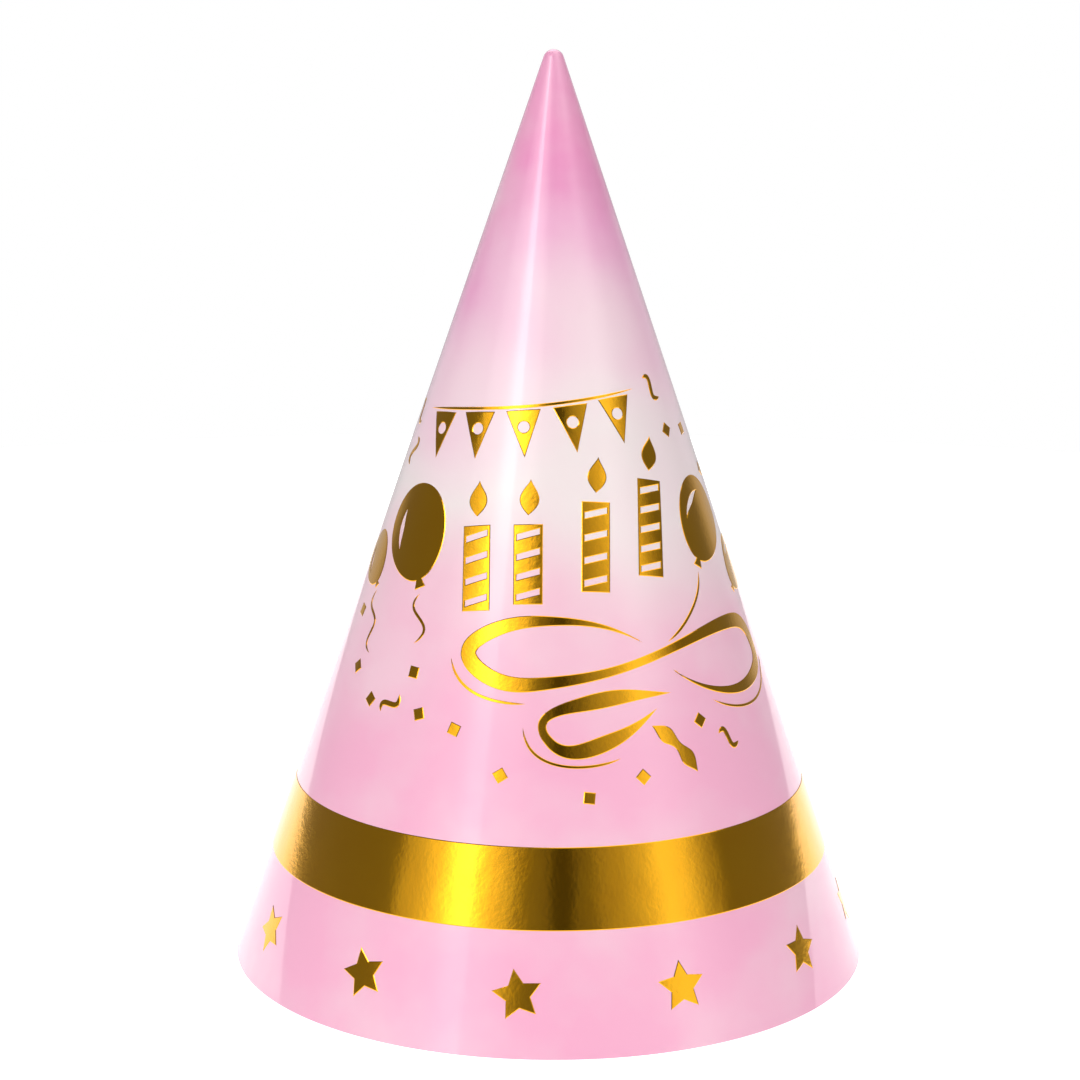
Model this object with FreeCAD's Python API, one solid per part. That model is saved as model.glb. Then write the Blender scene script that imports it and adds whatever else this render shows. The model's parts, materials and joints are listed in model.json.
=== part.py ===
import FreeCAD, Part
import math
import os
from FreeCAD import Vector

# Cone party hat: one sheet of card rolled into a cone, glued along the back, stamped with gold foil.
# Z is the axis, the rim stands on Z = 0 and -Y is the front. Lengths are millimetres, angles degrees.
# An azimuth is counted from the front towards +X.
# Foil outlines are drawn on the flat sheet: x to the right of the front line, y up from the rim.

RIM_RADIUS = 57.0        # outside, at the rim
CONE_HEIGHT = 165.6      # from the rim to the sharp point that the sides aim at
TIP_RADIUS = 1.84        # outside of the closed, rounded tip
BOARD = 0.40             # card thickness
GLUE = 0.05              # glue line in the back seam
SEAM_OVERLAP = 12.0      # how far the inner flap runs on under the outer one
SEAM_JOG = 1.5           # turn over which the sheet steps in to become the inner flap
CLOSED_TIP = 17.6        # from the top of the two flaps to the sharp point that the sides aim at
GLUE_MARGIN = 0.8        # turn left dry at both edges of the seam
FOIL = 0.08              # foil and its adhesive

HOLE_RADIUS = 1.6        # punched for the chin elastic, one on each side
HOLE_HEIGHT = 5.5        # hole centre above the rim
HOLE_AZIMUTHS = (-90.0, 90.0)

BAND_BOTTOM = 19.8
BAND_HEIGHT = 13.05
STAR_COUNT = 12
STAR_OFFSET = -5.6       # azimuth of the star nearest the front
STAR_CENTRE = 10.4       # up the side from the rim
STAR_POINT = 4.4         # centre to the tip of a point
STAR_WAIST = 2.2         # centre to an inner corner
STAR_TILT = -9.0

CORD_WIDTH = 0.55        # bunting cord and balloon strings
ECHO_WIDTH = 0.50        # fine lines beside the swirls
SWIRL_WIDTH = 2.9
SWIRL_SWELL = 0.5        # share of its width that a swirl loses where it is thin
PENNANT_WIDTH = 6.0
PENNANT_DROP = 8.2
PENNANT_DOT = 1.0        # radius of the dot left out of each pennant
CANDLE_WIDTH = 5.0
STRIPE = 1.0             # bare stripe across a candle
STRIPE_EDGE = 0.55       # foil left on each side of a stripe
FLAME_GAP = 1.5          # candle top to the foot of its flame
FLAME_HEIGHT = 6.2
FLAME_WIDTH = 3.4
CHIP = 2.0               # side of a confetti square
STREAMER_WIDTH = 1.0
KNOT_SHARE = 0.018       # share of a balloon's outline on each side of its foot that the knot takes

SLANT = math.hypot(RIM_RADIUS, CONE_HEIGHT)
SIN_A = RIM_RADIUS / SLANT
COS_A = CONE_HEIGHT / SLANT
SEAM_TOP = CONE_HEIGHT - CLOSED_TIP
# The seam runs up the back, midway between two stars.
SEAM = STAR_OFFSET + 6.5 * 360.0 / STAR_COUNT

AXIS = Vector(0, 0, 1)
ORIGIN = Vector(0, 0, 0)
CUT_DEPTH = 3 * FOIL     # how far a cutting wall passes both faces of the foil
MARGIN = 2.0             # layer left around a foil piece before it is cut out, in mm and in degrees
RUN = 5                  # steps of an outline that one cutting wall follows


def on_cone(azimuth, z, lift=0.0):
    """Point over the outside of the cone, lifted square to the surface."""
    turn = math.radians(azimuth)
    radius = RIM_RADIUS * (1 - z / CONE_HEIGHT) + lift / COS_A
    return Vector(radius * math.sin(turn), -radius * math.cos(turn), z)


def outward(azimuth):
    """Direction square to the side of the cone, away from its axis."""
    turn = math.radians(azimuth)
    return Vector(COS_A * math.sin(turn), -COS_A * math.cos(turn), SIN_A)


def ring_sector(low, high, bottom, top, start, sweep):
    """Layer of the wall from lift low to lift high, between two heights, over part of a turn."""
    corners = [
        on_cone(start, bottom, low),
        on_cone(start, bottom, high),
        on_cone(start, top, high),
        on_cone(start, top, low),
    ]
    face = Part.Face(Part.makePolygon(corners + corners[:1]))
    return face.revolve(ORIGIN, AXIS, sweep)


def jog(low, high, bottom, top):
    """Short stretch of a layer that steps in by one board and one glue line, up to the seam."""
    step = BOARD + GLUE
    ends = []
    for z in (bottom, top):
        corners = [
            on_cone(SEAM - SEAM_JOG, z, low),
            on_cone(SEAM - SEAM_JOG, z, high),
            on_cone(SEAM, z, high - step),
            on_cone(SEAM, z, low - step),
        ]
        ends.append(Part.makePolygon(corners + corners[:1]))
    return Part.makeLoft(ends, True, True)


def closed_cone():
    """Thin cone with a rounded, closed tip, as a full turn."""
    ball = Vector(0, 0, CONE_HEIGHT - TIP_RADIUS / SIN_A)
    ray = Vector(COS_A, 0, SIN_A)
    middle = Vector(math.sin(math.pi / 8), 0, math.cos(math.pi / 8))
    inner = TIP_RADIUS - BOARD
    outer_foot = Vector(RIM_RADIUS, 0, 0)
    inner_foot = Vector(RIM_RADIUS - BOARD / COS_A, 0, 0)
    edges = [
        Part.LineSegment(outer_foot, ball + ray * TIP_RADIUS),
        Part.Arc(ball + ray * TIP_RADIUS, ball + middle * TIP_RADIUS, ball + AXIS * TIP_RADIUS),
        Part.LineSegment(ball + AXIS * TIP_RADIUS, ball + AXIS * inner),
        Part.Arc(ball + AXIS * inner, ball + middle * inner, ball + ray * inner),
        Part.LineSegment(ball + ray * inner, inner_foot),
        Part.LineSegment(inner_foot, outer_foot),
    ]
    face = Part.Face(Part.Wire([edge.toShape() for edge in edges]))
    return face.revolve(ORIGIN, AXIS, 360)


def cone_board():
    """The rolled sheet: closed cone, opened at the seam, with its inner flap and punched holes."""
    gap = ring_sector(-2 * BOARD, BOARD, -BOARD, SEAM_TOP, SEAM - SEAM_JOG, SEAM_JOG)
    step = BOARD + GLUE
    flap = ring_sector(-BOARD - step, -step, 0, SEAM_TOP, SEAM, SEAM_OVERLAP)
    board = closed_cone().cut(gap).fuse([jog(-BOARD, 0, 0, SEAM_TOP), flap])
    for azimuth in HOLE_AZIMUTHS:
        away = outward(azimuth)
        start = on_cone(azimuth, HOLE_HEIGHT) + away * BOARD
        board = board.cut(Part.makeCylinder(HOLE_RADIUS, 3 * BOARD, start, -away))
    return board.removeSplitter()


def seam_glue():
    """Glue between the two flaps, short of their edges."""
    sweep = SEAM_OVERLAP - 2 * GLUE_MARGIN
    return ring_sector(-BOARD - GLUE, -BOARD, BOARD, SEAM_TOP - BOARD, SEAM + GLUE_MARGIN, sweep)


def gold_band():
    """Foil band all round, stepping in with the sheet at the seam."""
    top = BAND_BOTTOM + BAND_HEIGHT
    ring = ring_sector(0, FOIL, BAND_BOTTOM, top, SEAM, 360 - SEAM_JOG)
    return ring.fuse(jog(0, FOIL, BAND_BOTTOM, top))


def rolled(point, lift):
    """Point of the flat sheet once it is rolled up, lifted square to the surface."""
    x, y = point
    azimuth = math.degrees(math.atan2(x, SLANT - y)) / SIN_A
    along = SLANT - math.hypot(x, SLANT - y)
    return on_cone(azimuth, along * COS_A) + outward(azimuth) * lift


def walls_along(outline):
    """Walls square to the board along an outline, in short runs, past both faces of the foil."""
    walls = []
    for points in outline:
        for first in range(0, len(points) - 1, RUN):
            edges = []
            for lift in (-CUT_DEPTH, FOIL + CUT_DEPTH):
                curve = Part.BSplineCurve()
                curve.interpolate([rolled(point, lift) for point in points[first:first + RUN + 1]])
                edges.append(curve.toShape())
            walls.append(Part.makeRuledSurface(*edges))
    return walls


def foil(outline, *windows):
    """Foil piece: a layer on the board, cut along an outline and along its bare windows."""
    points = [point for side in outline for point in side]
    bearings = [math.degrees(math.atan2(x, SLANT - y)) / SIN_A for x, y in points]
    heights = [rolled(point, 0).z for point in points]
    bottom = min(heights) - MARGIN
    top = max(heights) + MARGIN
    sweep = max(bearings) - min(bearings) + 2 * MARGIN
    layer = ring_sector(0, FOIL, bottom, top, min(bearings) - MARGIN, sweep)
    walls = []
    for loop in (outline, *windows):
        walls += walls_along(loop)
    parts = layer.generalFuse(walls)[0].Solids
    parts.sort(key=lambda solid: solid.BoundBox.DiagonalLength)
    # The largest part is what is left of the layer around the piece.
    return parts[-2]


def straight_sides(corners, pieces=4):
    """Outline with a straight curve from each corner to the next."""
    sides = []
    for (ax, ay), (bx, by) in zip(corners, corners[1:] + corners[:1]):
        steps = [i / pieces for i in range(pieces + 1)]
        sides.append([(ax + (bx - ax) * t, ay + (by - ay) * t) for t in steps])
    return sides


def place(points, centre, tilt):
    """Points turned clockwise by tilt about the origin, then moved to a centre."""
    c = math.cos(math.radians(tilt))
    s = math.sin(math.radians(tilt))
    return [(centre[0] + x * c + y * s, centre[1] - x * s + y * c) for x, y in points]


def star(centre):
    corners = []
    for i in range(10):
        reach = STAR_WAIST if i % 2 else STAR_POINT
        turn = math.radians(36 * i)
        corners.append((reach * math.sin(turn), reach * math.cos(turn)))
    return foil(straight_sides(place(corners, centre, STAR_TILT)))


def closed_curve(shape, arcs=4, steps=8):
    """Outline of a smooth closed curve; shape gives a point for each turn from 0 to 1."""
    outline = []
    for i in range(arcs):
        outline.append([shape((i + j / steps) / arcs % 1) for j in range(steps + 1)])
    return outline


def circle(centre, radius):
    def point(t):
        return (centre[0] + radius * math.sin(math.tau * t), centre[1] + radius * math.cos(math.tau * t))
    return closed_curve(point)


def stroke(route, width, swell=0.0, waves=2, steps=5):
    """Outline of a ribbon along a route: its two sides meet in a point at both ends."""
    path = Part.BSplineCurve()
    path.interpolate([Vector(x, y, 0) for x, y in route])
    count = steps * (len(route) - 1)
    left = []
    right = []
    for i, spot in enumerate(path.toShape().discretize(count + 1)):
        t = i / count
        fullness = 1 - swell * (0.5 + 0.5 * math.cos(math.tau * waves * t))
        half = 0.5 * width * fullness * (1 - abs(2 * t - 1) ** 5)
        along = path.tangent(path.parameter(spot))[0]
        left.append((spot.x - along.y * half, spot.y + along.x * half))
        right.append((spot.x + along.y * half, spot.y - along.x * half))
    return [left, right[::-1]]


def balloon(centre, half_width, half_height, tilt):
    """Balloon with a narrow foot, its knot, and a bare highlight on one side."""
    def skin(t):
        turn = math.tau * (0.5 + KNOT_SHARE + t * (1 - 2 * KNOT_SHARE))
        taper = 1 + 0.16 * math.cos(turn)
        return (half_width * taper * math.sin(turn), half_height * math.cos(turn))
    body = [[skin((i + j / 8) / 4) for j in range(9)] for i in range(4)]
    start, end = body[0][0], body[-1][-1]
    spread = 0.17 * half_width
    drop = -half_height - 0.16 * half_height
    knot = [end, (spread, drop), (-spread, drop), start]
    outline = [place(points, centre, tilt) for points in body + straight_sides(knot)[:3]]
    glint = []
    for low, high in ((0.66, 0.66), (0.66, 0.50)):
        arc = []
        for i in range(9):
            t = i / 8
            reach = low + (high - low) * math.sin(math.pi * t)
            turn = math.radians(-105 + 80 * t)
            arc.append((reach * half_width * math.sin(turn), reach * half_height * math.cos(turn)))
        glint.append(place(arc, centre, tilt))
    return foil(outline, [glint[0], glint[1][::-1]])


def pennant(cord_point, tilt):
    half = 0.5 * PENNANT_WIDTH
    below = CORD_WIDTH
    corners = [(-half, -below), (half, -below), (0, -below - PENNANT_DROP)]
    dot = place([(0, -below - 0.36 * PENNANT_DROP)], cord_point, tilt)[0]
    return foil(straight_sides(place(corners, cord_point, tilt)), circle(dot, PENNANT_DOT))


def candle(foot, height):
    """Candle with slanting bare stripes."""
    half = 0.5 * CANDLE_WIDTH
    corners = [(-half, 0), (half, 0), (half, height), (-half, height)]
    reach = half - STRIPE_EDGE
    count = int(height / (3.2 * STRIPE))
    stripes = []
    for i in range(count):
        y = height * (i + 0.5) / count
        corner = [
            (-reach, y - STRIPE),
            (reach, y),
            (reach, y + STRIPE),
            (-reach, y),
        ]
        stripes.append(straight_sides(place(corner, foot, 0)))
    return foil(straight_sides(place(corners, foot, 0)), *stripes)


def flame(foot):
    """Drop-shaped flame, pointed at the top."""
    sides = []
    for side in (1, -1):
        points = []
        for i in range(13):
            t = i / 12
            bulge = math.sin(math.pi * t) * (1 - t) ** 0.35
            points.append((side * 0.62 * FLAME_WIDTH * bulge, FLAME_HEIGHT * t))
        sides.append(points)
    outline = [sides[0], sides[1][::-1]]
    return foil([place(points, foot, 4) for points in outline])


def chip(centre, tilt):
    half = 0.5 * CHIP
    corners = [(-half, -half), (half, -half), (half, half), (-half, half)]
    return foil(straight_sides(place(corners, centre, tilt)))


def squiggle(centre, tilt):
    """Curled paper streamer: a short wave."""
    route = [(-2.6, -0.2), (-1.5, 0.9), (-0.2, 0.0), (1.0, -0.9), (2.5, 0.3)]
    return foil(stroke(place(route, centre, tilt), STREAMER_WIDTH))


BUNTING = [(-26.0, 111.4), (-15.5, 109.4), (-5.0, 108.9), (5.5, 110.2), (15.0, 113.0)]
PENNANTS = [(-20.9, 110.2, 12), (-12.9, 109.1, 5), (-4.9, 108.9, -2), (3.0, 109.7, -9), (10.7, 111.6, -15)]
CANDLES = [(-13.0, 74.3, 14.6), (-3.9, 75.2, 13.6), (7.6, 77.4, 15.4), (17.9, 80.6, 16.8)]
BALLOONS = {
    "large_left": ((-26.6, 88.9), 7.4, 8.8, -12.0),
    "small_left": ((-40.0, 86.6), 4.5, 5.4, -24.0),
    "large_right": ((31.6, 92.4), 6.7, 8.0, 16.0),
    "small_right": ((44.6, 87.2), 4.6, 5.6, 26.0),
}
STRINGS = {
    "large_left": [(-24.4, 77.9), (-25.6, 75.4), (-23.4, 72.6), (-25.2, 69.4)],
    "small_left": [(-37.2, 80.2), (-38.4, 77.4), (-36.4, 74.4), (-38.2, 71.4), (-37.0, 68.8)],
    "large_right": [(29.0, 82.6), (28.6, 79.4), (26.4, 75.2), (23.4, 71.6), (21.0, 69.6)],
}
SWIRLS = {
    "long": [
        (16.0, 69.2), (8.0, 71.8), (-1.0, 72.4), (-9.6, 71.0), (-14.2, 67.4), (-10.6, 63.2),
        (-1.0, 61.9), (9.0, 63.7), (18.7, 67.2), (28.0, 71.4), (37.0, 74.8), (44.6, 74.8),
        (47.4, 70.6), (44.0, 66.0), (36.0, 62.6), (28.0, 62.7), (21.8, 65.0),
    ],
    "small": [
        (21.4, 61.0), (14.0, 60.2), (5.0, 58.4), (-1.4, 54.8), (1.0, 51.2), (8.2, 51.6),
        (14.4, 54.8), (18.6, 58.2),
    ],
    "tail": [(17.6, 55.2), (20.0, 54.0), (23.4, 51.4), (26.6, 47.8)],
}
ECHOES = {
    "left": [(-17.4, 66.6), (-14.4, 61.4), (-9.0, 59.0), (-4.2, 58.5)],
    "right": [(50.0, 70.8), (46.4, 63.6), (38.4, 60.0), (30.6, 60.4)],
    "low": [(-4.6, 54.6), (-2.4, 50.0), (4.0, 48.0), (12.0, 49.6)],
}
CHIPS = [
    (23.2, 107.0, 20), (29.3, 108.6, 60), (36.6, 103.0, 10), (-42.2, 77.4, 35), (-40.4, 66.9, 70),
    (-24.9, 64.4, 15), (-35.2, 60.5, 50), (-23.5, 57.2, 80), (-16.6, 54.4, 25), (-8.4, 46.6, 60),
    (16.0, 46.6, 40), (6.6, 42.9, 5), (27.4, 56.6, 30),
]
SQUIGGLES = [
    (19.6, 113.9, 35), (-31.4, 112.2, 70), (-31.2, 104.6, 120), (-30.0, 59.4, -25), (34.2, 54.1, 15),
]

pieces = {
    "cone_board": cone_board(),
    "seam_glue": seam_glue(),
    "gold_band": gold_band(),
    "bunting_cord": foil(stroke(BUNTING, CORD_WIDTH)),
}
for number in range(STAR_COUNT):
    turn = (STAR_OFFSET + 360.0 * number / STAR_COUNT) % 360
    if turn > SEAM:
        turn -= 360
    bearing = math.radians(turn * SIN_A)
    reach = SLANT - STAR_CENTRE
    middle = (reach * math.sin(bearing), SLANT - reach * math.cos(bearing))
    pieces[f"star_{number + 1:02d}"] = star(middle)
for number, (x, y, tilt) in enumerate(PENNANTS, 1):
    pieces[f"pennant_{number}"] = pennant((x, y), tilt)
for number, (x, y, height) in enumerate(CANDLES, 1):
    pieces[f"candle_{number}"] = candle((x, y), height)
    pieces[f"flame_{number}"] = flame((x, y + height + FLAME_GAP))
for name, values in BALLOONS.items():
    pieces[f"balloon_{name}"] = balloon(*values)
for name, route in STRINGS.items():
    pieces[f"string_{name}"] = foil(stroke(route, CORD_WIDTH))
for name, route in SWIRLS.items():
    pieces[f"swirl_{name}"] = foil(stroke(route, SWIRL_WIDTH, SWIRL_SWELL))
for name, route in ECHOES.items():
    pieces[f"echo_{name}"] = foil(stroke(route, ECHO_WIDTH))
for number, (x, y, tilt) in enumerate(CHIPS, 1):
    pieces[f"confetti_{number:02d}"] = chip((x, y), tilt)
for number, (x, y, tilt) in enumerate(SQUIGGLES, 1):
    pieces[f"streamer_{number}"] = squiggle((x, y), tilt)

os.makedirs("parts", exist_ok=True)
for node, shape in pieces.items():
    shape.exportStep(f"parts/{node}.step")
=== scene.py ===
import bpy
import json
import math
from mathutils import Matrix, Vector


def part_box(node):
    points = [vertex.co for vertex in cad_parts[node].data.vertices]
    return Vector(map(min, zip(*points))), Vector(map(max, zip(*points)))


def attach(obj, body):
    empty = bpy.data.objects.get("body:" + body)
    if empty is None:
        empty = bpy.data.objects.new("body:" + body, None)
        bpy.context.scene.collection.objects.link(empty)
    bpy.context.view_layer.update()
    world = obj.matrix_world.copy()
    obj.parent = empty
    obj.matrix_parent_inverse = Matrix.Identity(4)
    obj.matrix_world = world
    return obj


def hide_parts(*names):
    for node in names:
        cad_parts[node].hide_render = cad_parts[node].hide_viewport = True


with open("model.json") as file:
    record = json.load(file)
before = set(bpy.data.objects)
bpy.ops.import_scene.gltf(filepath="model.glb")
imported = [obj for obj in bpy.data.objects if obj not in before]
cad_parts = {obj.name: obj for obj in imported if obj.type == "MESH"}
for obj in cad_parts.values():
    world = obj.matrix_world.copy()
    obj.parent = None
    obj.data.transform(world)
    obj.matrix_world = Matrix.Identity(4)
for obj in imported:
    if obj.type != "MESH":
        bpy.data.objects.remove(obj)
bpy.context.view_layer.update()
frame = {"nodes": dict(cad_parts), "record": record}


# Camera: stands half a metre in front of the hat and a little above it, and looks slightly down
# on it. It is turned by a hair about its own line of sight.
MM = 0.001
LOOK_AT = Vector((-1.9, 0.0, 75.3)) * MM
CAMERA_DISTANCE = 498.2 * MM
CAMERA_RISE = math.radians(11.92)
CAMERA_ROLL = math.radians(0.31)
LENS = 92.9
NEAREST_SEEN = 0.01

bpy.ops.object.camera_add()
camera = bpy.context.object
camera.name = "camera"
away = Vector((0.0, -math.cos(CAMERA_RISE), math.sin(CAMERA_RISE)))
camera.location = LOOK_AT + away * CAMERA_DISTANCE
camera.rotation_euler = (-away).to_track_quat("-Z", "Y").to_euler()
camera.rotation_euler.rotate_axis("Z", CAMERA_ROLL)
camera.data.lens = LENS
camera.data.clip_start = NEAREST_SEEN
bpy.context.scene.camera = camera


# Room: plain white walls to the camera, with only a little light of their own. They are paler
# behind the hat, and the dark of the rest is what gives polished foil its contrast.
ROOM_DARK = 0.17
ROOM_PALE = 0.50
PALE_FROM = 0.55
PALE_TO = 0.80


# Colours are written as sRGB hex and turned to linear here.
def colour(code):
    channels = []
    for start in (1, 3, 5):
        value = int(code[start:start + 2], 16) / 255
        channels.append(value / 12.92 if value <= 0.04045 else ((value + 0.055) / 1.055) ** 2.4)
    return (*channels, 1.0)


# Adds one node with its settings, input values and links. An input goes by its name, or by its
# number as i0, i1 and so on, and a link is given as another node's socket.
def add(tree, kind, settings=None, **inputs):
    node = tree.nodes.new(kind)
    for name, value in (settings or {}).items():
        setattr(node, name, value)
    for name, value in inputs.items():
        numbered = name[0] == "i" and name[1:].isdigit()
        socket = node.inputs[int(name[1:]) if numbered else name]
        if isinstance(value, bpy.types.NodeSocket):
            tree.links.new(value, socket)
        else:
            socket.default_value = value
    return node


bpy.context.scene.view_settings.view_transform = "Standard"
WHITE = colour("#FFFFFF")

world = bpy.data.worlds.new("studio")
bpy.context.scene.world = world
world.use_nodes = True
tree = world.node_tree
tree.nodes.clear()
direction = add(tree, "ShaderNodeTexCoord")
parts = add(tree, "ShaderNodeSeparateXYZ", i0=direction.outputs["Generated"])
light = add(tree, "ShaderNodeMapRange", {"interpolation_type": "SMOOTHSTEP"},
            i0=parts.outputs["Y"], i1=PALE_FROM, i2=PALE_TO, i3=ROOM_DARK, i4=ROOM_PALE)
sight = add(tree, "ShaderNodeLightPath")
room = add(tree, "ShaderNodeBackground", Color=WHITE, Strength=light.outputs[0])
seen = add(tree, "ShaderNodeBackground", Color=WHITE, Strength=1.0)
both = add(tree, "ShaderNodeMixShader",
           i0=sight.outputs["Is Camera Ray"], i1=room.outputs[0], i2=seen.outputs[0])
add(tree, "ShaderNodeOutputWorld", i0=both.outputs[0])


# Lights: tall sheets of white diffuser on stands, each brightest where its lamp stands behind it,
# with a tall soft one on either side of the camera. The last is the camera's own stand, which
# holds back the light where it is.
HAT_MIDDLE = Vector((0.0, 0.0, 0.08))
PANEL_DISTANCE = 0.90
PANEL_HEIGHT = 0.80
DIFFUSER_TINT = colour("#FFFDF8")
# The glow is given as places and shares of the most, from left to right as the hat sees it, and
# from bottom to top. Angles are in degrees, and widths in metres.
EVEN = [(0.0, 1.0), (1.0, 1.0)]
PANELS = {
    "key": dict(
        bearing=-38.0, rise=24.0, width=0.88, strength=7.1,
        across=[(0.0, 0.16), (0.20, 0.24), (0.37, 0.40), (0.43, 0.60), (0.52, 1.0), (0.62, 1.0),
                (0.65, 0.52), (0.70, 0.44), (0.85, 0.26), (0.96, 0.12), (1.0, 0.04)],
        up=[(0.0, 0.375), (0.36, 0.425), (0.72, 1.0), (1.0, 1.0)],
    ),
    "fill": dict(
        bearing=50.0, rise=24.0, width=1.10, strength=1.3248,
        across=[(0.0, 0.125), (0.07, 0.2604), (0.20, 0.3438), (0.36, 0.5729), (0.47, 1.0),
                (0.58, 0.8958), (0.68, 0.5833), (0.76, 0.3542), (0.90, 0.125), (1.0, 0.1042)],
        up=EVEN,
    ),
    "top": dict(bearing=65.0, rise=66.0, width=0.88, strength=1.5, across=EVEN, up=EVEN),
    "back": dict(bearing=180.0, rise=60.0, width=0.88, strength=2.2, across=EVEN, up=EVEN),
    "stand": dict(bearing=5.5, rise=24.0, width=0.13, strength=0.03, across=EVEN, up=EVEN),
}


# An empty node tree for a new material.
def new_material(name):
    material = bpy.data.materials.new(name)
    material.use_nodes = True
    material.node_tree.nodes.clear()
    return material, material.node_tree


for name, spec in PANELS.items():
    turn = math.radians(spec["bearing"])
    rise = math.radians(spec["rise"])
    way = Vector((
        math.sin(turn) * math.cos(rise), -math.cos(turn) * math.cos(rise), math.sin(rise)
    ))
    bpy.ops.object.select_all(action="DESELECT")
    bpy.ops.mesh.primitive_plane_add(
        size=1.0, location=HAT_MIDDLE + way * PANEL_DISTANCE,
        rotation=way.to_track_quat("Z", "Y").to_euler(),
    )
    panel = bpy.context.object
    panel.name = "softbox_" + name
    panel.scale = (spec["width"], PANEL_HEIGHT, 1.0)
    panel.visible_camera = False
    material, tree = new_material("diffuser_" + name)
    place = add(tree, "ShaderNodeTexCoord")
    parts = add(tree, "ShaderNodeSeparateXYZ", i0=place.outputs["UV"])
    shares = []
    for axis, stops in (("X", spec["across"]), ("Y", spec["up"])):
        ramp = add(tree, "ShaderNodeValToRGB", i0=parts.outputs[axis])
        while len(ramp.color_ramp.elements) < len(stops):
            ramp.color_ramp.elements.new(0.5)
        for stop, (position, share) in zip(ramp.color_ramp.elements, stops):
            stop.position = position
            stop.color = (share, share, share, 1.0)
        shares.append(ramp.outputs[0])
    glow = add(tree, "ShaderNodeMath", {"operation": "MULTIPLY"}, i0=shares[0], i1=shares[1])
    power = add(tree, "ShaderNodeMath", {"operation": "MULTIPLY"},
                i0=glow.outputs[0], i1=spec["strength"])
    lamp = add(tree, "ShaderNodeEmission", Color=DIFFUSER_TINT, Strength=power.outputs[0])
    add(tree, "ShaderNodeOutputMaterial", i0=lamp.outputs[0])
    panel.data.materials.append(material)


# Table: a round top of matt white laminate, so evenly lit that it runs on into the white of the
# room without a horizon.
TABLE_RADIUS = 0.55
TABLE_SIDES = 96

bpy.ops.object.select_all(action="DESELECT")
bpy.ops.mesh.primitive_circle_add(vertices=TABLE_SIDES, radius=TABLE_RADIUS, fill_type="NGON")
table = bpy.context.object
table.name = "table"
material, tree = new_material("white_table_laminate")
surface = add(tree, "ShaderNodeBsdfPrincipled", **{
    "Base Color": colour("#B8B8B8"), "Roughness": 0.6, "Specular IOR Level": 0.0,
    "Emission Color": WHITE, "Emission Strength": 0.98,
})
add(tree, "ShaderNodeOutputMaterial", i0=surface.outputs[0])
table.data.materials.append(material)


# Card cone: one die-cut sheet of coated paperboard, printed flat, rolled up and glued along the
# back, where the outer edge laps over an inner flap. The tip is rolled closed, and two small holes
# for a chin elastic are punched above the rim.
BOARD = 0.40 * MM
GLUE = 0.05 * MM
FOIL = 0.08 * MM
# Film that lies on the slope reaches out level by its thickness times this.
FOIL_REACH = 1.058
# Angles round the hat, in degrees: how far the flap runs on, the turn in which it steps in under
# the outer edge, and the step from star to star.
SEAM_OVERLAP = 12.0
SEAM_JOG = 1.5
STAR_PITCH = 30.0

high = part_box("cone_board")[1]
band_low, band_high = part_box("gold_band")
RIM = high.x
SPREAD = (RIM + FOIL * FOIL_REACH - band_high.x) / band_low.z
HEIGHT = RIM / SPREAD
SLANT = math.hypot(RIM, HEIGHT)
SIN_A = RIM / SLANT
COS_A = HEIGHT / SLANT
TIP = (HEIGHT - high.z) / (1 / SIN_A - 1)
TIP_CENTRE = HEIGHT - TIP / SIN_A
TIP_START = SLANT - TIP * COS_A / SIN_A
SEAM_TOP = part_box("seam_glue")[1].z
star_low, star_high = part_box("star_01")
first_star = (star_low + star_high) / 2
# The seam lies at the back, midway between two stars.
SEAM = math.degrees(math.atan2(first_star.x, -first_star.y)) + 6.5 * STAR_PITCH


# Place on the cone for a bearing from the front, a distance up the side and a lift off it.
def on_cone(bearing, along, lift):
    turn = math.radians(bearing)
    out = Vector((math.sin(turn), -math.cos(turn), 0.0))
    radius = (SLANT - along) * SIN_A
    return out * (radius + lift * COS_A) + Vector((0, 0, along * COS_A + lift * SIN_A))


# The sheet's grid: squares round the turn, squares up the side, and how many of those are the tip.
COLUMNS = 248
ROWS = 96
TIP_ROWS = 10
# The step at the seam fades out where the cone is narrower than this.
STEP_FADE = 3 * TIP
# The flap is cut away above the glue, from a little past the outer edge.
FLAP_START = 0.5
# The print lies on the flat sheet, so the sheet's own map carries it: 0 to 1 is SHEET across.
SHEET = 0.40
MERGE = 0.002 * MM

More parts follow.
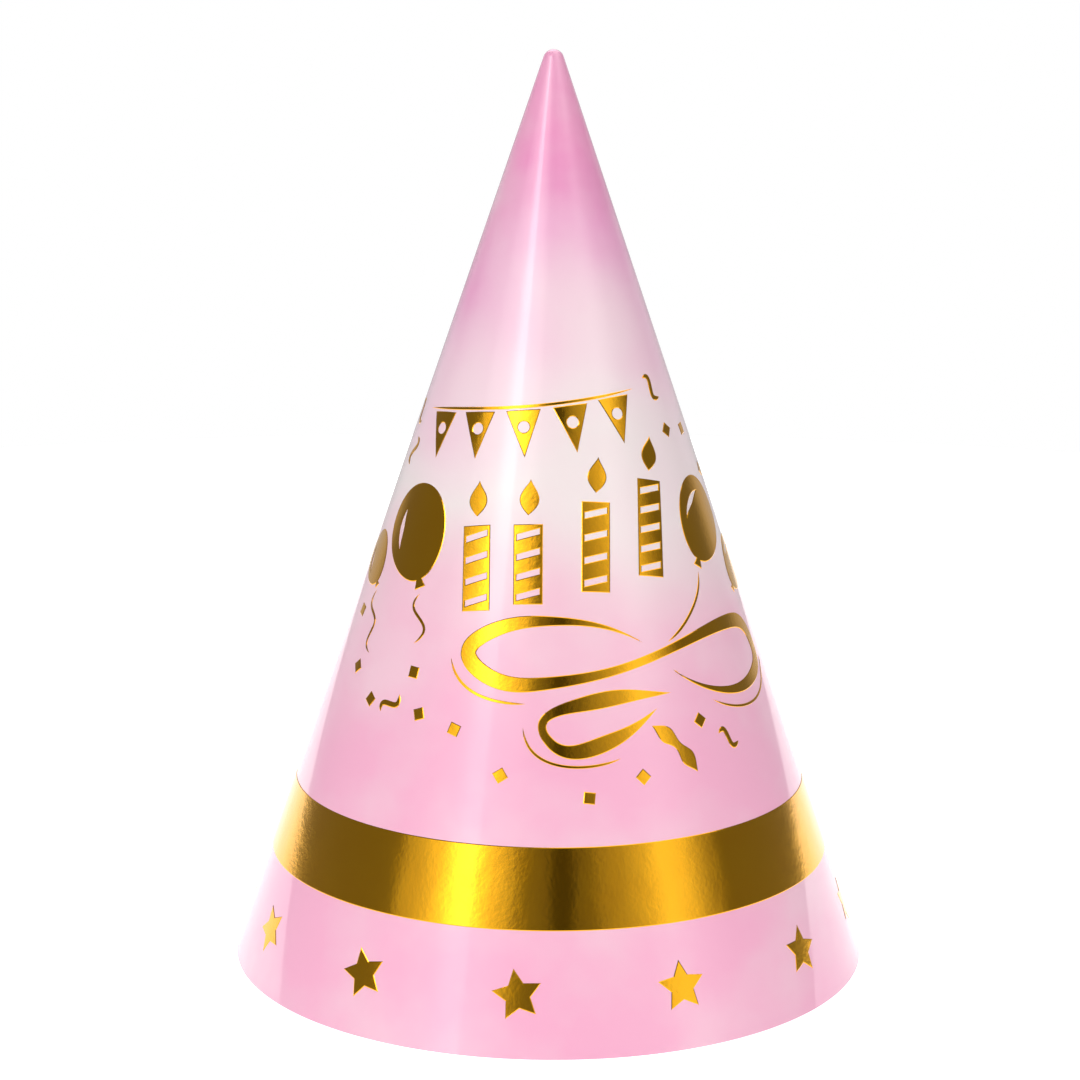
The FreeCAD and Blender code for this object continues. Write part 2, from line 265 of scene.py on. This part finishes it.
bpy.ops.object.select_all(action="DESELECT")
bpy.ops.mesh.primitive_grid_add(x_subdivisions=COLUMNS, y_subdivisions=ROWS, size=1.0)
board = bpy.context.object
board.name = "card_cone"
bpy.ops.object.mode_set(mode="EDIT")
bpy.ops.mesh.select_all(action="DESELECT")
bpy.ops.object.mode_set(mode="OBJECT")
sheet = []
for vertex in board.data.vertices:
    row = (vertex.co.y + 0.5) * ROWS
    bearing = SEAM - 360 + (vertex.co.x + 0.5) * (360 + SEAM_OVERLAP)
    step = min(max((bearing - SEAM + SEAM_JOG) / SEAM_JOG, 0.0), 1.0)
    step = step * step * (3 - 2 * step)
    if row <= ROWS - TIP_ROWS:
        along = TIP_START * row / (ROWS - TIP_ROWS)
        narrow = min(1.0, (SLANT - along) * SIN_A / STEP_FADE)
        place = on_cone(bearing, along, -step * (BOARD + GLUE) * narrow)
    else:
        along = TIP_START + TIP * (row - ROWS + TIP_ROWS) / TIP_ROWS
        polar = math.acos(SIN_A) * (ROWS - row) / TIP_ROWS
        radius = TIP * math.sin(polar)
        radius -= step * (BOARD + GLUE) * radius / STEP_FADE
        turn = math.radians(bearing)
        place = Vector((
            radius * math.sin(turn), -radius * math.cos(turn), TIP_CENTRE + TIP * math.cos(polar)
        ))
    angle = math.radians(bearing * SIN_A)
    reach = SLANT - along
    sheet.append((reach * math.sin(angle), SLANT - reach * math.cos(angle)))
    vertex.select = bearing > SEAM + FLAP_START and place.z > SEAM_TOP
    vertex.co = place
layout = board.data.uv_layers.active
layout.name = "sheet"
for loop in board.data.loops:
    x, y = sheet[loop.vertex_index]
    layout.data[loop.index].uv = (x / SHEET + 0.5, y / SHEET)
bpy.ops.object.mode_set(mode="EDIT")
bpy.ops.mesh.delete(type="VERT")
bpy.ops.mesh.select_all(action="SELECT")
bpy.ops.mesh.remove_doubles(threshold=MERGE)
bpy.ops.mesh.normals_make_consistent(inside=False)
bpy.ops.object.mode_set(mode="OBJECT")

# The board's thickness goes inwards. Its three slots are the printed face, the back and the edge.
PRINTED, BACK, EDGE = range(3)
for _ in (PRINTED, BACK, EDGE):
    board.data.materials.append(None)
shell = board.modifiers.new("board", "SOLIDIFY")
shell.thickness = BOARD
shell.offset = -1.0
shell.use_even_offset = True
shell.material_offset = BACK
shell.material_offset_rim = EDGE
bpy.ops.object.modifier_apply(modifier="board")
# The rim is trimmed flat, so both faces of the card end on the table.
for vertex in board.data.vertices:
    vertex.co.z = max(vertex.co.z, 0.0)

# The two elastic holes are punched square to the card, and their walls show its cut edge.
PUNCH_SIDES = 48
PUNCH_LENGTH = 8 * BOARD
for mount in frame["record"]["mounts"]:
    if mount["kind"] != "bore":
        continue
    bpy.ops.object.select_all(action="DESELECT")
    bpy.ops.mesh.primitive_cylinder_add(
        vertices=PUNCH_SIDES, radius=mount["dims"]["r_mm"] * MM, depth=PUNCH_LENGTH,
        location=Vector(mount["pos_m"]),
        rotation=Vector(mount["axis"]).to_track_quat("Z", "Y").to_euler(),
    )
    punch = bpy.context.object
    for _ in (PRINTED, BACK, EDGE):
        punch.data.materials.append(None)
    for face in punch.data.polygons:
        face.material_index = EDGE
    bpy.context.view_layer.objects.active = board
    cut = board.modifiers.new("punch", "BOOLEAN")
    cut.operation = "DIFFERENCE"
    cut.object = punch
    bpy.ops.object.modifier_apply(modifier="punch")
    bpy.data.objects.remove(punch)
bpy.ops.object.select_all(action="DESELECT")
board.select_set(True)
bpy.context.view_layer.objects.active = board
SHARP_CARD = math.radians(30)
bpy.ops.object.shade_smooth_by_angle(angle=SHARP_CARD)

# Coated paperboard under gloss film: an even, mirror-smooth coat over a soft print of pink
# clouds, with the faintest waviness where the sheet has been rolled.
PRINT_HEIGHT = 180.0
PRINT = [
    (0.00, "#F8B3D3"), (0.28, "#F8B5D4"), (0.40, "#F8BFD8"), (0.48, "#F6DAE4"), (0.54, "#F5E9EC"),
    (0.59, "#F8E4EC"), (0.64, "#F9D6E7"), (0.69, "#F6C5E0"), (0.74, "#F3ACD6"), (0.79, "#F09DCC"),
    (0.88, "#F39CCB"), (1.00, "#F39BCA"),
]
# Clouds move the edges of the print's belts up and down, and a paler haze veils it in places.
# Sizes and shifts are in millimetres on the flat sheet, and the rest are shares.
CLOUD_SIZE = 38.0
CLOUD_SHIFT = 11.0
CLOUD_FROM, CLOUD_TO = 0.30, 0.70
HAZE_SIZE = 20.0
HAZE_FROM, HAZE_TO = 0.42, 0.72
HAZE_MOST = 0.40
WAVE_SIZE = 9.0

material, tree = new_material("gloss_laminated_paperboard")
coords = add(tree, "ShaderNodeUVMap", {"uv_map": "sheet"})
flat = add(tree, "ShaderNodeVectorMath", {"operation": "SCALE"},
           i0=coords.outputs[0], Scale=SHEET / MM)
split = add(tree, "ShaderNodeSeparateXYZ", i0=flat.outputs[0])
cloud = add(tree, "ShaderNodeTexNoise",
            Vector=flat.outputs[0], Scale=1 / CLOUD_SIZE, Detail=2.0, Roughness=0.45)
haze = add(tree, "ShaderNodeTexNoise",
           Vector=flat.outputs[0], Scale=1 / HAZE_SIZE, Detail=3.0, Roughness=0.5)
shift = add(tree, "ShaderNodeMapRange",
            i0=cloud.outputs[0], i1=CLOUD_FROM, i2=CLOUD_TO, i3=-CLOUD_SHIFT, i4=CLOUD_SHIFT)
height = add(tree, "ShaderNodeMath", {"operation": "ADD"},
             i0=split.outputs["Y"], i1=shift.outputs[0])
belt = add(tree, "ShaderNodeMapRange", i0=height.outputs[0], i1=0.0, i2=PRINT_HEIGHT)
ramp = add(tree, "ShaderNodeValToRGB", i0=belt.outputs[0])
while len(ramp.color_ramp.elements) < len(PRINT):
    ramp.color_ramp.elements.new(0.5)
for stop, (position, code) in zip(ramp.color_ramp.elements, PRINT):
    stop.position = position
    stop.color = colour(code)
veil = add(tree, "ShaderNodeMapRange",
           i0=haze.outputs[0], i1=HAZE_FROM, i2=HAZE_TO, i3=0.0, i4=HAZE_MOST)
ink = add(tree, "ShaderNodeMix", {"data_type": "RGBA"},
          i0=veil.outputs[0], i6=ramp.outputs[0], i7=colour("#F8E2EA"))
wave = add(tree, "ShaderNodeTexNoise", Vector=flat.outputs[0], Scale=1 / WAVE_SIZE, Detail=1.0)
bump = add(tree, "ShaderNodeBump", Height=wave.outputs[0], Strength=0.25, Distance=0.02 * MM)
surface = add(tree, "ShaderNodeBsdfPrincipled", **{
    "Base Color": ink.outputs[2], "Normal": bump.outputs[0], "Roughness": 0.45, "IOR": 1.5,
    "Specular IOR Level": 0.2, "Coat Weight": 1.0, "Coat Roughness": 0.04, "Coat IOR": 1.5,
})
add(tree, "ShaderNodeOutputMaterial", i0=surface.outputs[0])
board.data.materials[PRINTED] = material

# Uncoated back of the board: matt off-white pulp, with a fine mottle of fibres.
FIBRE_SIZE = 0.9 * MM
material, tree = new_material("uncoated_board_back")
coords = add(tree, "ShaderNodeTexCoord")
fibre = add(tree, "ShaderNodeTexNoise",
            Vector=coords.outputs["Object"], Scale=1 / FIBRE_SIZE, Detail=4.0)
tone = add(tree, "ShaderNodeMix", {"data_type": "RGBA"},
           i0=fibre.outputs[0], i6=colour("#E6E2DC"), i7=colour("#F6F4F0"))
bump = add(tree, "ShaderNodeBump", Height=fibre.outputs[0], Strength=0.4, Distance=0.03 * MM)
surface = add(tree, "ShaderNodeBsdfPrincipled", **{
    "Base Color": tone.outputs[2], "Normal": bump.outputs[0], "Roughness": 0.85,
})
add(tree, "ShaderNodeOutputMaterial", i0=surface.outputs[0])
board.data.materials[BACK] = material

# Cut edge: the pressed plies show as a fine line, tinted by the print that bleeds over it.
PLY_SIZE = 0.5 * MM
material, tree = new_material("cut_board_edge")
coords = add(tree, "ShaderNodeTexCoord")
ply = add(tree, "ShaderNodeTexNoise",
          Vector=coords.outputs["Object"], Scale=1 / PLY_SIZE, Detail=2.0)
tone = add(tree, "ShaderNodeMix", {"data_type": "RGBA"},
           i0=ply.outputs[0], i6=colour("#E8A9CB"), i7=colour("#F6D3E4"))
surface = add(tree, "ShaderNodeBsdfPrincipled", **{
    "Base Color": tone.outputs[2], "Roughness": 0.8,
})
add(tree, "ShaderNodeOutputMaterial", i0=surface.outputs[0])
board.data.materials[EDGE] = material

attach(board, "root")
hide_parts("cone_board")


# Seam glue: a thin film of clear hot-melt, rolled on between the two flaps before they are
# pressed together. Only a fine line of it shows at its edges, so its solid is used as it is.
MELT_SIZE = 4 * MM
material, tree = new_material("clear_hot_melt_glue")
coords = add(tree, "ShaderNodeTexCoord")
patch = add(tree, "ShaderNodeTexNoise",
            Vector=coords.outputs["Object"], Scale=1 / MELT_SIZE, Detail=2.0)
tone = add(tree, "ShaderNodeMix", {"data_type": "RGBA"},
           i0=patch.outputs[0], i6=colour("#E9E0CC"), i7=colour("#F4EFE2"))
surface = add(tree, "ShaderNodeBsdfPrincipled", **{
    "Base Color": tone.outputs[2], "Roughness": 0.35,
})
add(tree, "ShaderNodeOutputMaterial", i0=surface.outputs[0])
frame["nodes"]["seam_glue"].data.materials.clear()
frame["nodes"]["seam_glue"].data.materials.append(material)


# Gold band: a strip of metallised film, stamped hot onto the flat sheet from edge to edge. The die
# presses its outline a little into the card, which leaves a fine sloping edge. The strip steps in
# with the card at the seam, where its far end lies hidden between the two flaps.
STAMP_TOP = 0.07 * MM
STAMP_FOOT = 0.01 * MM
STAMP_BASE = -0.03 * MM
STAMP_EDGE = 0.14 * MM
# Degrees round the hat: each flat strip that the film bends in, and its sloping end.
STRIP = 1.5
END_SLOPE = 0.17

# Hot-stamped film: bright gold metal under a thin lacquer. Paper grain about 0.8 mm across shows
# through it, over a wider ripple of a few millimetres.
GRAIN_SIZE = 0.8 * MM
RIPPLE_SIZE = 6 * MM
gold, tree = new_material("hot_stamped_gold_foil")
coords = add(tree, "ShaderNodeTexCoord")
grain = add(tree, "ShaderNodeTexNoise",
            Vector=coords.outputs["Object"], Scale=1 / GRAIN_SIZE, Detail=3.0, Roughness=0.55)
ripple = add(tree, "ShaderNodeTexNoise",
             Vector=coords.outputs["Object"], Scale=1 / RIPPLE_SIZE, Detail=1.0)
wide = add(tree, "ShaderNodeBump", Height=ripple.outputs[0], Strength=0.5, Distance=0.12 * MM)
bump = add(tree, "ShaderNodeBump",
           Height=grain.outputs[0], Strength=0.8, Distance=0.026 * MM, Normal=wide.outputs[0])
tone = add(tree, "ShaderNodeMix", {"data_type": "RGBA"},
           i0=ripple.outputs[0], i6=colour("#F3AD13"), i7=colour("#F7B61B"))
surface = add(tree, "ShaderNodeBsdfPrincipled", **{
    "Base Color": tone.outputs[2], "Normal": bump.outputs[0], "Metallic": 1.0, "Roughness": 0.16,
    "Coat Weight": 0.3, "Coat Roughness": 0.12,
})
add(tree, "ShaderNodeOutputMaterial", i0=surface.outputs[0])

SHARP_FOIL = math.radians(10)
# A face belongs to the film's flat top when it faces this nearly the same way as the cone, where
# 1 is exactly the same way.
FLAT_TOP = 0.9990


# Which way the cone faces at an angle round from the front.
def facing(turn):
    return Vector((math.sin(turn) * COS_A, -math.cos(turn) * COS_A, SIN_A))


# The flat top takes the cone's own normal, so that its reflection runs unbroken over the strips.
def finish_foil(piece, name):
    bpy.ops.object.shade_smooth_by_angle(angle=SHARP_FOIL)
    normals = [corner.vector.copy() for corner in piece.data.corner_normals]
    for face in piece.data.polygons:
        for loop in face.loop_indices:
            place = piece.data.vertices[piece.data.loops[loop].vertex_index].co
            out = facing(math.atan2(place.x, -place.y))
            if face.normal.dot(out) > FLAT_TOP:
                normals[loop] = out
    piece.data.normals_split_custom_set(normals)
    piece.data.materials.clear()
    piece.data.materials.append(gold)
    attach(piece, "root")
    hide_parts(name)


# The strip's section, as distances up the side and lifts, goes round from its lower edge.
bottom = band_low.z / COS_A
top = (band_high.z - FOIL * SIN_A) / COS_A
rows = [
    (bottom, STAMP_BASE), (bottom, STAMP_FOOT), (bottom + STAMP_EDGE, STAMP_TOP),
    (top - STAMP_EDGE, STAMP_TOP), (top, STAMP_FOOT), (top, STAMP_BASE),
    (top - STAMP_EDGE, STAMP_BASE), (bottom + STAMP_EDGE, STAMP_BASE), (bottom, STAMP_BASE),
]
columns = [SEAM - 360, SEAM - 360 + END_SLOPE]
columns += [SEAM - 360 + STRIP * step for step in range(1, int(360 / STRIP) + 1)]
bpy.ops.object.select_all(action="DESELECT")
bpy.ops.mesh.primitive_grid_add(
    x_subdivisions=len(columns) - 1, y_subdivisions=len(rows) - 1, size=1.0
)
band = bpy.context.object
band.name = "foil_gold_band"
for vertex in band.data.vertices:
    column = round((vertex.co.x + 0.5) * (len(columns) - 1))
    along, lift = rows[round((vertex.co.y + 0.5) * (len(rows) - 1))]
    if column == 0:
        lift = STAMP_BASE
    if column == len(columns) - 1:
        lift = STAMP_BASE - BOARD - GLUE
    vertex.co = on_cone(columns[column], along, lift)
bpy.ops.object.mode_set(mode="EDIT")
bpy.ops.mesh.select_all(action="SELECT")
bpy.ops.mesh.remove_doubles(threshold=MERGE)
bpy.ops.mesh.normals_make_consistent(inside=False)
bpy.ops.object.mode_set(mode="OBJECT")
finish_foil(band, "gold_band")


# Stars, motif and confetti: patches of the same film, stamped in one blow with the band. Each
# outline is taken from its solid, laid flat, given its pressed edge and rolled back on.
FINE_EDGE = 0.08 * MM
FINE_LINES = ("echo", "string", "bunting")
# A face that faces away from the card less than this is the patch's side or back.
LOOKS_OUT = 0.85
NEAR_FLAT = math.radians(0.3)
PATCH_MERGE = 0.003 * MM
CUT_SNAP = 0.0001 * MM


# Bearing and distance up the side of a point near the cone.
def off_cone(place):
    bearing = (math.degrees(math.atan2(place.x, -place.y)) - SEAM) % 360 + SEAM - 360
    lift = (math.hypot(place.x, place.y) - (HEIGHT - place.z) * SIN_A / COS_A) * COS_A
    return bearing, (place.z - lift * SIN_A) / COS_A


for name, node in frame["nodes"].items():
    if name in ("cone_board", "seam_glue", "gold_band"):
        continue
    piece = bpy.data.objects.new("foil_" + name, node.data.copy())
    bpy.context.scene.collection.objects.link(piece)
    bpy.ops.object.select_all(action="DESELECT")
    piece.select_set(True)
    bpy.context.view_layer.objects.active = piece
    bpy.ops.object.mode_set(mode="EDIT")
    bpy.ops.mesh.select_all(action="SELECT")
    bpy.ops.mesh.customdata_custom_splitnormals_clear()
    bpy.ops.mesh.remove_doubles(threshold=PATCH_MERGE)
    bpy.ops.mesh.select_mode(type="FACE")
    bpy.ops.mesh.select_all(action="DESELECT")
    bpy.ops.object.mode_set(mode="OBJECT")
    # Only the face away from the card is kept, and it is laid flat as it was stamped.
    for face in piece.data.polygons:
        out = facing(math.radians(off_cone(face.center)[0]))
        face.select = face.normal.dot(out) < LOOKS_OUT
    bpy.ops.object.mode_set(mode="EDIT")
    bpy.ops.mesh.delete(type="FACE")
    bpy.ops.object.mode_set(mode="OBJECT")
    bearings = []
    for vertex in piece.data.vertices:
        bearing, along = off_cone(vertex.co)
        bearings.append(bearing)
        angle = math.radians(bearing * SIN_A)
        reach = SLANT - along
        vertex.co = (reach * math.sin(angle), SLANT - reach * math.cos(angle), STAMP_BASE)
    # It is raised to its full height, and its outline pressed down to the foot of the slope.
    edge = FINE_EDGE if name.startswith(FINE_LINES) else STAMP_EDGE
    bpy.ops.object.mode_set(mode="EDIT")
    bpy.ops.mesh.select_all(action="SELECT")
    bpy.ops.mesh.dissolve_limited(angle_limit=NEAR_FLAT)
    bpy.ops.mesh.select_all(action="SELECT")
    bpy.ops.mesh.extrude_region_move(
        TRANSFORM_OT_translate={"value": (0, 0, STAMP_TOP - STAMP_BASE)}
    )
    bpy.ops.mesh.inset(thickness=edge, use_boundary=True, use_even_offset=True)
    bpy.ops.object.mode_set(mode="OBJECT")
    for vertex in piece.data.vertices:
        if not vertex.select and vertex.co.z > 0:
            vertex.co.z = STAMP_FOOT
    # Cuts along lines that run to the sheet's point let the flat foil bend round the cone.
    bpy.ops.object.mode_set(mode="EDIT")
    bpy.ops.mesh.select_mode(type="EDGE")
    first = math.ceil(min(bearings) / STRIP)
    for number in range(first, math.floor(max(bearings) / STRIP) + 1):
        angle = math.radians(number * STRIP * SIN_A)
        bpy.ops.mesh.select_all(action="SELECT")
        bpy.ops.mesh.bisect(
            plane_co=(0, SLANT, 0), plane_no=(math.cos(angle), math.sin(angle), 0),
            threshold=CUT_SNAP,
        )
    bpy.ops.mesh.select_mode(type="VERT")
    bpy.ops.object.mode_set(mode="OBJECT")
    for vertex in piece.data.vertices:
        x, y, lift = vertex.co
        bearing = math.degrees(math.atan2(x, SLANT - y)) / SIN_A
        vertex.co = on_cone(bearing, SLANT - math.hypot(x, SLANT - y), lift)
    bpy.ops.object.mode_set(mode="EDIT")
    bpy.ops.mesh.select_all(action="SELECT")
    bpy.ops.mesh.normals_make_consistent(inside=False)
    bpy.ops.object.mode_set(mode="OBJECT")
    finish_foil(piece, name)
